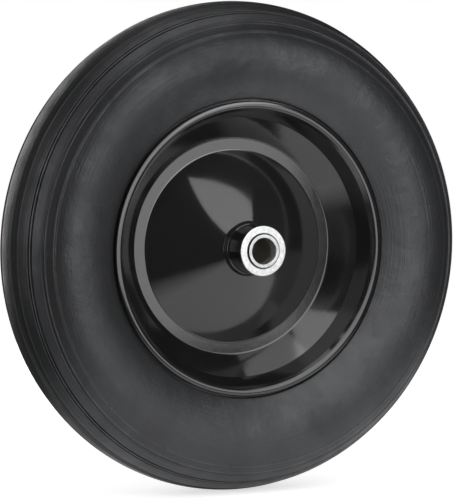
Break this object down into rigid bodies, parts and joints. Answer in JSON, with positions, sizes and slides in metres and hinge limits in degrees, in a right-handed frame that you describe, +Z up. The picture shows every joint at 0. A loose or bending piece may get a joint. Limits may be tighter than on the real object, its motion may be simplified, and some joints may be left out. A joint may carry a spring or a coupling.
{
  "type": "wheelbarrow wheel",
  "caption": "Wheelbarrow wheel: ribbed solid foam tyre on a dished pressed steel rim, with a hub tube and flanged ball bearings for a plain axle.",
  "frame": {"origin": "the wheel's centre, on the axle's line in the middle plane of the rim", "axes": "+Y along the axle from the front to the back, +Z up, and the front, which the picture shows, faces -Y"},
  "size_m": [0.38, 0.114, 0.38],
  "materials": {
    "tyre_foam": "matt moulded polyurethane, faint mottle and a soft sheen",
    "black_paint": "gloss black coating with small specks",
    "zinc_plate": "bright zinc plate",
    "race_steel": "turned and plated steel",
    "bearing_steel": "hardened steel, lightly oiled"
  },
  "bodies": {
    "inner_races": {"front_inner_race": "race_steel", "back_inner_race": "race_steel"},
    "wheel": {"tyre": "tyre_foam", "rim_front_shell": "black_paint", "rim_back_shell": "black_paint", "hub_tube": "black_paint", "front_weld_bead": "black_paint", "back_weld_bead": "black_paint", "front_bearing_shell": "zinc_plate", "front_outboard_ring": "bearing_steel", "front_inboard_ring": "bearing_steel", "back_bearing_shell": "zinc_plate", "back_outboard_ring": "bearing_steel", "back_inboard_ring": "bearing_steel"},
    "front_ball_set": {"front_balls": "bearing_steel"},
    "back_ball_set": {"back_balls": "bearing_steel"}
  },
  "joints": [
    {"name": "wheel_spin", "type": "hinge", "parent": "inner_races", "child": "wheel", "pos_m": [0, 0, 0], "axis": [0, 1, 0], "continuous": true},
    {"name": "front_balls_roll", "type": "hinge", "parent": "inner_races", "child": "front_ball_set", "pos_m": [0, 0, 0], "axis": [0, 1, 0], "continuous": true},
    {"name": "back_balls_roll", "type": "hinge", "parent": "inner_races", "child": "back_ball_set", "pos_m": [0, 0, 0], "axis": [0, 1, 0], "continuous": true}
  ],
  "couplings": [
    {"joint": "front_balls_roll", "follows": "wheel_spin", "ratio": 0.574},
    {"joint": "back_balls_roll", "follows": "wheel_spin", "ratio": 0.574}
  ]
}
